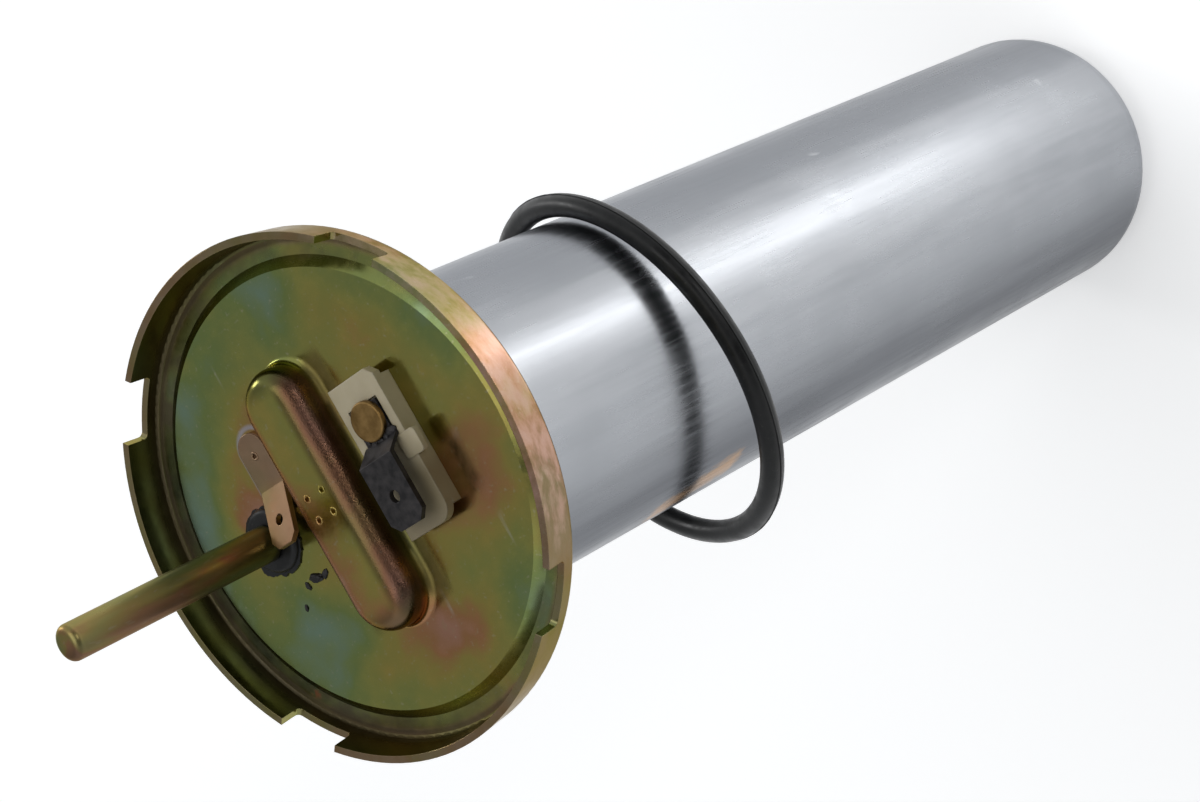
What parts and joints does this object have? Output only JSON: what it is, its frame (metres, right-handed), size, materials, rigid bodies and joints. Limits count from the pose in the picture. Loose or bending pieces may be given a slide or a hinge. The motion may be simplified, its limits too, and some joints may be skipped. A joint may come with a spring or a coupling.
{
  "type": "fuel tank sending unit",
  "caption": "Immersion tube fuel level sender: pressed round flange with rib, vent pipe and plug terminal, long tube with a sliding float inside, loose sealing ring.",
  "frame": {"origin": "centre of the flange's seating face, the plane on which it lies on the tank", "axes": "+Z points out of the tank along the tube's axis, +X from the terminal block towards the vent pipe, +Y along the stiffening rib"},
  "size_m": [0.0708, 0.0708, 0.2291],
  "materials": {
    "yellow_zinc": "yellow chromated zinc",
    "aluminium": "satin",
    "black_rubber": "satin",
    "natural_nylon": "moulded",
    "white_acetal": "moulded",
    "dark_brass": "blackened",
    "brass": "satin",
    "bright_steel": "drawn",
    "spring_bronze": "rolled",
    "resistance_alloy": "drawn",
    "float_foam": "closed cell foam"
  },
  "bodies": {
    "sender": {"flange_plate": "yellow_zinc", "vent_pipe": "yellow_zinc", "pipe_seal": "black_rubber", "earth_tab": "yellow_zinc", "terminal_block": "natural_nylon", "signal_blade": "dark_brass", "terminal_rivet": "brass", "rivet_gasket": "black_rubber", "rivet_bush": "natural_nylon", "signal_strap": "spring_bronze", "earth_strap": "spring_bronze", "wire_pins": "brass", "upper_carrier": "white_acetal", "immersion_tube": "aluminium", "guide_rod": "bright_steel", "rod_clips": "bright_steel", "stop_rings": "black_rubber", "lower_carrier": "white_acetal", "signal_wire": "resistance_alloy", "earth_wire": "resistance_alloy", "wire_springs": "spring_bronze", "end_washer": "bright_steel", "end_nut": "bright_steel"},
    "seal_ring": {"sealing_ring": "black_rubber"},
    "float_unit": {"float_body": "float_foam", "float_bush": "white_acetal", "contact_leaf": "spring_bronze", "leaf_pins": "bright_steel"}
  },
  "joints": [
    {"name": "float_slide", "type": "slide", "parent": "sender", "child": "float_unit", "axis": [0, 0, 1], "range_m": [0, 0.137]},
    {"name": "ring_slide", "type": "slide", "parent": "sender", "child": "seal_ring", "axis": [0, 0, 1], "range_m": [0, 0.048]}
  ]
}
